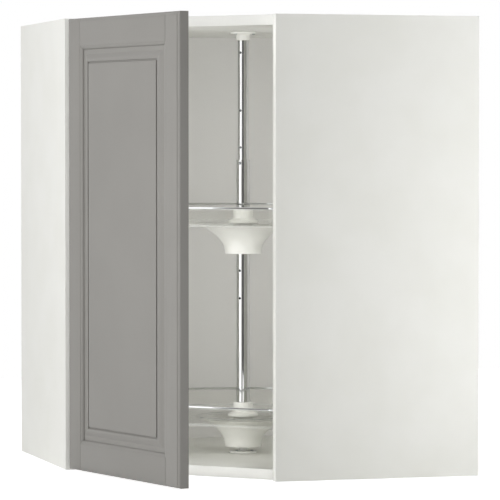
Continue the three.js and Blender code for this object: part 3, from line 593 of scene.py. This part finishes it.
# Section of the raised panel, from the edge that sits in the frame's groove to the field: distance
# from the frame's flat face, depth behind the door's front face.
PANEL_SECTION = [
    (6.7, 14), (6.7, 12.2), (-4.4, 12.2), (-4.4, 6.2), (6.6, 6.2), (6.6, 5.2), (13, 5.2),
    (14.5, 5.1), (15.3, 4.8), (18, 3.3), (21.5, 1.9), (25, 0.9), (27.6, 0.5), (28.2, 0.6),
    (28.4, 2.6), (31.4, 2.6), (31.5, 0.6), (32, 0.08), (33, 0),
]


def fielded_panel():
    """The panel's section carried round its four sides, with mitred corners."""
    points, faces = [], []
    for inset, depth in PANEL_SECTION:
        x0, x1 = STILE + inset, DOOR["width"] - STILE - inset
        z0, z1 = RAIL + inset, DOOR["height"] - RAIL - inset
        points += [on_door(x, depth, z) for x, z in ((x0, z0), (x1, z0), (x1, z1), (x0, z1))]
    last = len(PANEL_SECTION) - 1
    for i in range(last):
        for k in range(4):
            m = (k + 1) % 4
            faces.append((4 * i + k, 4 * i + m, 4 * (i + 1) + m, 4 * (i + 1) + k))
    faces += [(0, 1, 2, 3), tuple(4 * last + k for k in range(4))]
    return mesh_of("door_panel", points, faces)


made = piece("door_panel_finished", fielded_panel(), "door", "grey_door", LACQUER,
             angle=math.radians(20))
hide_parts("door_panel")

HINGE_HEIGHTS = {"lower": 100, "upper": 695}
CUP_INSET, CUP_FLANGE = 21, 2.1  # cup's middle from the hinge edge, and what its flange stands out
PLATE_SCREW_SEAT = (3, -319.4)  # x and y
CUP_SCREW_OFF, PLATE_SCREW_OFF = 24, 16  # above and below the hinge's middle
ARM_SCREW_SINK = 2.2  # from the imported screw's end to the seat of its head
for level, height in HINGE_HEIGHTS.items():
    softened(f"hinge_cup_{level}", 0.25, "nickel_steel", NICKEL)
    softened(f"hinge_arm_{level}", 0.5, "nickel_steel", NICKEL)
    softened(f"hinge_plate_{level}", 0.4, "nickel_steel", NICKEL)
    for side, way in (("a", -1), ("b", 1)):
        name = f"cup_screw_{level}_{side}"
        place = on_door(CUP_INSET, DOOR["thickness"] + CUP_FLANGE, height + way * CUP_SCREW_OFF)
        made = screw(f"{name}_cross", "cup", place, DOOR_BACKWARD, "door")
        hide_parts(name)
        name = f"plate_screw_{level}_{side}"
        place = (*PLATE_SCREW_SEAT, LIFT + height + way * PLATE_SCREW_OFF)
        made = screw(f"{name}_cross", "plate", place, (0, 1, 0), "cabinet")
        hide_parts(name)
    low, high = (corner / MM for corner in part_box(f"arm_screw_{level}"))
    seat = ((low.x + high.x) / 2, high.y - ARM_SCREW_SINK, (low.z + high.z) / 2)
    made = screw(f"arm_screw_{level}_cross", "arm", seat, (0, 1, 0), "cabinet")
    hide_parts(f"arm_screw_{level}")

# Two clear stick-on bumpers on the door's back, at its free edge.
for index, up in enumerate((25, DOOR["height"] - 25)):
    dome = filleted([(0, 0), (4, 0), (4, 0.7), (2.6, 1.4), (0, 1.4)], 0.5, 3, closed=False)
    mesh = placed(lathe("bumper", dome, 32), on_door(388, DOOR["thickness"], up), DOOR_BACKWARD)
    piece(f"door_bumper_{index + 1}", mesh, "door", "clear_plastic", CLEAR)

# ---- Bearings ----------------------------------------------------------------------------------

SEAT_GAP = 0.3  # between a bearing's plate and its board
TOP_PLATE, BOTTOM_PLATE = 4, 3.7  # thickness
TOP_SCREW_RING, BOTTOM_SCREW_RING = 19.15, 16.5  # from the axis to the screws

top = HEIGHT - BOARD - SEAT_GAP
under = top - TOP_PLATE
socket = [(0, top - 5), (10.3, top - 5), (10.3, top - 16), (12.3, top - 16), (12.3, top - 6),
          (14.3, under), (24, under), (24, top), (0, top)]
mesh = lathe("top_bearing", filleted(socket, 0.8, 3, closed=False))
made = piece("top_bearing_finished", mesh, "cabinet", "white_plastic", MOULDED)
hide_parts("top_bearing")
low = BOARD + SEAT_GAP
over = low + BOTTOM_PLATE
spigot = [(0, low), (25, low), (25, over), (9.5, over), (8, low + 5.2), (8, low + 27.7),
          (0, low + 27.7)]
mesh = lathe("bottom_bearing", filleted(spigot, 1, 3, closed=False))
made = piece("bottom_bearing_finished", mesh, "cabinet", "white_plastic", MOULDED)
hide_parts("bottom_bearing")
for k in range(3):
    turn = (k + 0.5) * 2 * math.pi / 3
    place = (TOP_SCREW_RING * math.cos(turn), TOP_SCREW_RING * math.sin(turn), under)
    screw(f"top_bearing_screw_{k + 1}", "bearing", place, (0, 0, -1), "cabinet")
    place = (BOTTOM_SCREW_RING * math.cos(turn), BOTTOM_SCREW_RING * math.sin(turn), over)
    screw(f"bottom_bearing_screw_{k + 1}", "bearing", place, (0, 0, 1), "cabinet")

# ---- Carousel ----------------------------------------------------------------------------------

FACING = math.radians(-45)  # the trays' flat fronts, and the holes in the pole
ACROSS = (math.cos(FACING), math.sin(FACING), 0)
TRAY_TOPS = {"lower": 84.5, "upper": 434.5}
TRAY_RADIUS, TRAY_FLAT, TRAY_CORNER = 262, 200.5, 50  # plan, to the middle of the rim
TRAY_HOLE, TRAY_FLOOR = 18.3, 3  # radius of the collar's hole, thickness of the floor
FLOOR_RING = 90  # a loop under the floor, beside the raised ring above it
OUTER_COVE, INNER_COVE, COVE_STEPS = 4, 2.75, 5  # radii where the floor turns up into the rim
RIM_HALF, RIM_SHOULDER = 1.25, 27.9  # half the rim's thickness, and where its top begins to narrow
RIM_TOP_HALF, RIM_TOP = 0.7, 28.7
# The raised ring on the floor: radius, height.
BEAD = ((86.5, 0), (86.4, 0.9), (85.7, 1.5), (85, 1.6), (84.3, 1.5), (83.6, 0.9), (83.5, 0))
RAIL_RISE, HUB_DROP = 31.5, 54.5  # from a tray's top face up to the rail, down to the hub's foot


def tray_outline(grow, flat_steps=16, corner_steps=10, round_steps=200):
    """Points round a tray, grown outwards from the middle of its rim."""
    radius, flat, corner = TRAY_RADIUS + grow, TRAY_FLAT + grow, TRAY_CORNER + grow
    x = flat - corner
    y = math.sqrt((radius - corner) ** 2 - x ** 2)
    turn = math.atan2(y, x)
    points = []

    def arc(cx, cy, size, start, end, steps):
        for k in range(steps):
            way = start + (end - start) * k / steps
            points.append((cx + size * math.cos(way), cy + size * math.sin(way)))

    arc(x, y, corner, 0, turn, corner_steps)
    arc(0, 0, radius, turn, 2 * math.pi - turn, round_steps)
    arc(x, -y, corner, -turn, 0, corner_steps)
    points += [(flat, -y + 2 * y * k / flat_steps) for k in range(flat_steps)]
    c, s = math.cos(FACING), math.sin(FACING)
    return [(c * px - s * py, s * px + c * py) for px, py in points]


MIDDLE = tray_outline(0)
BEARINGS = [math.atan2(y, x) for x, y in MIDDLE]


def tray_mesh(name, base):
    """Floor with a raised ring and a hole for the collar, coved rim, all 2.5 to 3 thick. Its second
    material goes to the faces that turn an edge."""
    loops, turning = [], []

    def circle(radius, z, turns=False):
        loops.append([(radius * math.cos(t), radius * math.sin(t), base + z) for t in BEARINGS])
        turning.append(turns)

    def rim(grow, z, turns=False):
        loops.append([(x, y, base + z) for x, y in tray_outline(grow)])
        turning.append(turns)

    circle(TRAY_HOLE, -TRAY_FLOOR)
    circle(FLOOR_RING, -TRAY_FLOOR)
    for k in range(COVE_STEPS + 1):
        t = math.pi / 2 * k / COVE_STEPS
        rim(RIM_HALF - OUTER_COVE + OUTER_COVE * math.sin(t),
            OUTER_COVE - TRAY_FLOOR - OUTER_COVE * math.cos(t), turns=k < COVE_STEPS)
    rim(RIM_HALF, RIM_SHOULDER, turns=True)
    rim(RIM_TOP_HALF, RIM_TOP, turns=True)
    rim(-RIM_TOP_HALF, RIM_TOP, turns=True)
    rim(-RIM_HALF, RIM_SHOULDER)
    for k in range(COVE_STEPS + 1):
        t = math.pi / 2 * k / COVE_STEPS
        rim(-RIM_HALF - INNER_COVE * (1 - math.cos(t)), INNER_COVE * (1 - math.sin(t)),
            turns=k < COVE_STEPS)
    for radius, z in BEAD:
        circle(radius, z, turns=(radius, z) != BEAD[-1])
    circle(TRAY_HOLE, 0)
    mesh = mesh_of(name, *bridged(loops, True))
    for face in mesh.polygons:
        face.material_index = int(turning[face.index // len(MIDDLE)])
    return mesh


def rail_mesh(name, height, radius=2.1, sides=14):
    """A bright wire bent to the tray's outline and butt-welded."""
    loops = []
    count = len(MIDDLE)
    for i, (x, y) in enumerate(MIDDLE):
        ahead, behind = MIDDLE[(i + 1) % count], MIDDLE[i - 1]
        along = Vector((ahead[0] - behind[0], ahead[1] - behind[1])).normalized()
        loop = []
        for k in range(sides):
            turn = 2 * math.pi * k / sides
            out_by, up_by = radius * math.cos(turn), radius * math.sin(turn)
            loop.append((x + along.y * out_by, y - along.x * out_by, height + up_by))
        loops.append(loop)
    return mesh_of(name, *bridged(loops, True))


def hub_profile(base):
    """Trumpet: 80 at the mouth, 33.5 at the foot, walls 2.2, a floor of 3 round the pole."""
    rise, steps = 51.2, 28
    outer, inner = [], []
    for k in range(steps + 1):
        z = rise * k / steps
        share = z / rise
        radius = 33.5 + 46.5 * share ** 2.4
        lean = 46.5 * 2.4 * share ** 1.4 / rise
        drop = 2.2 / math.hypot(1, lean)
        outer.append((radius, z))
        if 3.6 < z + drop * lean < rise - 0.4:
            inner.append((radius - drop, z + drop * lean))
    wall = [(12.9, 0.4), (13.3, 0), (32.4, 0), (33.2, 0.4)] + outer[1:-1]
    lip = [(79.6, rise - 0.25), (79.2, rise), (inner[-1][0] + 1, rise)]
    floor_edge = [(inner[0][0], 3), (12.9, 3)]
    return [(r, base + z) for r, z in wall + lip + inner[::-1] + floor_edge]


for level, height in TRAY_TOPS.items():
    mesh = tray_mesh(f"tray_{level}", height)
    made = piece(f"tray_{level}_moulded", mesh, "carousel", "clear_plastic", CLEAR, CLEAR_EDGE,
                 angle=math.radians(40))
    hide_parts(f"tray_{level}")
    mesh = rail_mesh(f"tray_rail_{level}", height + RAIL_RISE)
    made = piece(f"tray_rail_{level}_wire", mesh, "carousel", "chrome_plate", CHROME,
                 angle=math.radians(60))
    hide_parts(f"tray_rail_{level}")
    mesh = lathe(f"tray_hub_{level}", hub_profile(height - HUB_DROP), 128)
    made = piece(f"tray_hub_{level}_moulded", mesh, "carousel", "white_plastic", MOULDED)
    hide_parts(f"tray_hub_{level}")
    softened(f"hub_collar_{level}", 0.3, "white_plastic", MOULDED)


CROSS_HOLE, LOCK_HOLE = 2.2, 2.6  # radii
DRILL = 20  # how far a drill reaches from the pole's axis
BESIDE_HOLE, BESIDE_END = 3.2, 1.5  # from a hole's middle and from a tube's end to a ring
LOCK_HEIGHT = 544


def tube(name, radius, bore, low, high, holes, lock):
    """A chromed tube cut square, with cross holes at the given heights and one lock hole. Rings
    beside each hole and each end keep the faces there short, so that the tube mirrors straight."""
    beside = [z + way for z in (*holes, lock) for way in (-BESIDE_HOLE, BESIDE_HOLE)]
    rings = sorted([low + BESIDE_END, high - BESIDE_END] + beside)
    wall = filleted([(bore, low), (radius, low), (radius, high), (bore, high)], 0.5, 2)
    half = next(i for i, (r, z) in enumerate(wall) if r == radius and z > (low + high) / 2)
    wall[half:half] = [(radius, z) for z in rings]
    wall += [(bore, z) for z in reversed(rings)]
    made = piece(f"{name}_chromed", lathe(name, wall, 128), "carousel", "chrome_plate", CHROME)
    cutters = [placed(rod(CROSS_HOLE, -DRILL, DRILL), (0, 0, z), ACROSS) for z in holes]
    cutters += [placed(rod(LOCK_HOLE, 0, DRILL), (0, 0, lock), ACROSS)]
    drilled(made, cutters)
    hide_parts(name)


tube("pole_outer_tube", 12.5, 10.4, 31, 550, (99.3, 299.3, 349.3, 449.3), LOCK_HEIGHT)
tube("pole_inner_tube", 10, 8.6, 470, 776.4, (572.4, 638.9, 743.4), LOCK_HEIGHT)

# ---- Floor, light and background ---------------------------------------------------------------


def seen_by(tree):
    """1 for rays from the camera, a mirror or glass, and 0 for those that only carry light."""
    path = add(tree, "ShaderNodeLightPath")
    direct = add(tree, "ShaderNodeMath", None, {
        0: path.outputs["Is Camera Ray"], 1: path.outputs["Is Glossy Ray"],
    }, operation="MAXIMUM")
    return add(tree, "ShaderNodeMath", None, {
        0: direct.outputs[0], 1: path.outputs["Is Transmission Ray"],
    }, operation="MAXIMUM").outputs[0]


FLOOR_REACH = 2.2  # m, from the axis to each side
FLOOR_GAP = 0.5  # mm under the cabinet
FLOOR_GLOW = 0.8  # what the floor adds to meet the white background


def studio_floor():
    """A pale matt floor that keeps the shadow and meets the white background."""
    made, tree, out = material("floor_pale")
    speck = grain(tree, 6, detail=3)
    values = {"Roughness": 0.9, "IOR": 1.4, "Emission Color": (1, 1, 1, 1)}
    return coated(made, tree, out, values, {
        "Base Color": tint(tree, speck, "#E6E6E5", "#EAEAE9"),
        "Emission Strength": ramp(tree, seen_by(tree), 0, 1, 0, FLOOR_GLOW),
    })


floor_data = bpy.data.meshes.new("floor")
corners = [(x * FLOOR_REACH, y * FLOOR_REACH, 0) for x, y in SQUARE]
floor_data.from_pydata(corners, [], [(0, 1, 2, 3)])
floor = bpy.data.objects.new("floor", floor_data)
floor.location.z = -FLOOR_GAP * MM
floor_data.materials.append(studio_floor())
bpy.context.scene.collection.objects.link(floor)

SKY_HORIZON, SKY_ZENITH = 0.45, 0  # ambient light comes from the sides, none from straight above
world = bpy.data.worlds.new("studio")
world.use_nodes = True
bpy.context.scene.world = world
sky = world.node_tree
sky.nodes.clear()
sight = add(sky, "ShaderNodeTexCoord").outputs["Generated"]
aloft = add(sky, "ShaderNodeSeparateXYZ", None, {0: sight})
ambient = ramp(sky, aloft.outputs["Z"], 0, 1, SKY_HORIZON, SKY_ZENITH)
# A dark band stands before the cabinet's opening, only for mirrors: it draws the chrome's dark
# line.
FLAG_TURN, FLAG_HALF_WIDTH, FLAG_TONE = -0.36, 0.28, 0.1  # radians round +Z, radians, strength
bearing = add(sky, "ShaderNodeMath", None, {0: aloft.outputs["Y"], 1: aloft.outputs["X"]},
              operation="ARCTAN2")
flag = add(sky, "ShaderNodeMath", {1: FLAG_TURN, 2: FLAG_HALF_WIDTH}, {0: bearing.outputs[0]},
           operation="COMPARE")
mirrored = add(sky, "ShaderNodeMath", None, {
    0: flag.outputs[0], 1: add(sky, "ShaderNodeLightPath").outputs["Is Glossy Ray"],
}, operation="MULTIPLY")
background = ramp(sky, mirrored.outputs[0], 0, 1, 1, FLAG_TONE)
strength = add(sky, "ShaderNodeMix", None, {"Factor": seen_by(sky), "A": ambient, "B": background})
shown = add(sky, "ShaderNodeBackground", {"Color": (1, 1, 1, 1)}, {"Strength": strength.outputs[0]})
add(sky, "ShaderNodeOutputWorld", None, {"Surface": shown.outputs[0]})

# name: place, point aimed at (both m), width and height (m), watts, spread (degrees), what it does.
# Fills are the light that the open front lets in: they stand behind the closed door, so that they
# suit every pose, and aren't mirrored. The card is only mirrored, by the chrome.
LAMPS = {
    "key_front": ((1.21, -2.18, 1.3), (0.1, -0.25, 0.4), (1.1, 1.1), 10.4, 180, "all"),
    "key_high": ((0.1, -2.6, 1.9), (0, -0.2, 0.4), (1.2, 1.2), 11, 180, "all"),
    "overhead": ((0.7, -0.7, 2.4), (0.1, -0.1, 0.5), (1.6, 1.6), 2.4, 180, "all"),
    "top": ((-0.05, 0.05, 1.5), (-0.05, 0.05, 0.8), (0.5, 0.5), 3.4, 180, "all"),
    "front_left": ((0.3, -2.4, 0.35), (0.1, -0.3, 0.3), (1.2, 0.6), 6.6, 180, "all"),
    "front_near": ((1.1, -1, 0.45), (0.33, -0.1, 0.4), (0.3, 0.9), 2.3, 180, "all"),
    "front_raised": ((0.95, -1.3, 0.7), (0.33, -0.1, 0.4), (0.4, 0.9), 1.2, 180, "all"),
    "side_right": ((1.3, 0.9, 0.4), (0.34, 0.4, 0.4), (0.3, 1.4), 1.1, 60, "all"),
    "side_far": ((1.2, 1.8, 0.6), (0.34, 0.2, 0.4), (0.8, 1.2), 6.3, 180, "all"),
    "side_low": ((0.9, 0.5, 0.06), (0.34, 0.25, 0.15), (0.5, 0.1), 0.47, 180, "all"),
    "rear": ((-2, 2, 1.5), (0, 0, 0.4), (1.5, 1.5), 10.5, 180, "all"),
    "opening_middle": ((0.181, -0.181, 0.4), (-0.319, 0.319, 0.4), (0.09, 0.74), 0.31, 160, "fill"),
    "opening_right": ((0.252, -0.11, 0.4), (-0.248, 0.39, 0.4), (0.09, 0.74), 0.27, 160, "fill"),
    "opening_left": ((0.12, -0.245, 0.4), (-0.2, 0.33, 0.4), (0.12, 0.78), 0.13, 70, "fill"),
    "opening_sill": ((0.186, -0.186, 0.016), (-0.314, 0.314, 0.016), (0.375, 0.028), 0.033, 180,
                     "fill"),
    "opening_lintel": ((0.186, -0.186, 0.785), (-0.314, 0.314, 0.785), (0.375, 0.028), 0.016, 180,
                       "fill"),
    "opening_jamb": ((0.333, -0.062, 0.4), (0.333, 0.4, 0.4), (0.018, 0.79), 0.072, 180, "fill"),
    "inside_right": ((0.29, 0.12, 0.4), (-0.33, 0.12, 0.4), (0.1, 0.74), 0.24, 160, "fill"),
    "inside_upper": ((0.29, 0.12, 0.6), (-0.33, 0.15, 0.6), (0.1, 0.38), 0.072, 160, "fill"),
    "opening_card": ((0.12, -0.246, 0.4), (0.0, 0.0, 0.4), (0.189, 0.76), 0.55, 180, "card"),
}
for name, (place, aim, (wide, tall), power, spread, use) in LAMPS.items():
    lamp = bpy.data.lights.new(name, "AREA")
    lamp.shape = "RECTANGLE"
    lamp.size, lamp.size_y, lamp.energy, lamp.spread = wide, tall, power, math.radians(spread)
    holder = bpy.data.objects.new(name, lamp)
    holder.location = place
    holder.rotation_euler = (Vector(aim) - Vector(place)).to_track_quat("-Z", "Y").to_euler()
    holder.visible_camera = False
    holder.visible_diffuse = use != "card"
    holder.visible_glossy = use != "fill"
    holder.visible_transmission = use != "fill"
    bpy.context.scene.collection.objects.link(holder)

view = bpy.context.scene.view_settings
view.view_transform = "Standard"
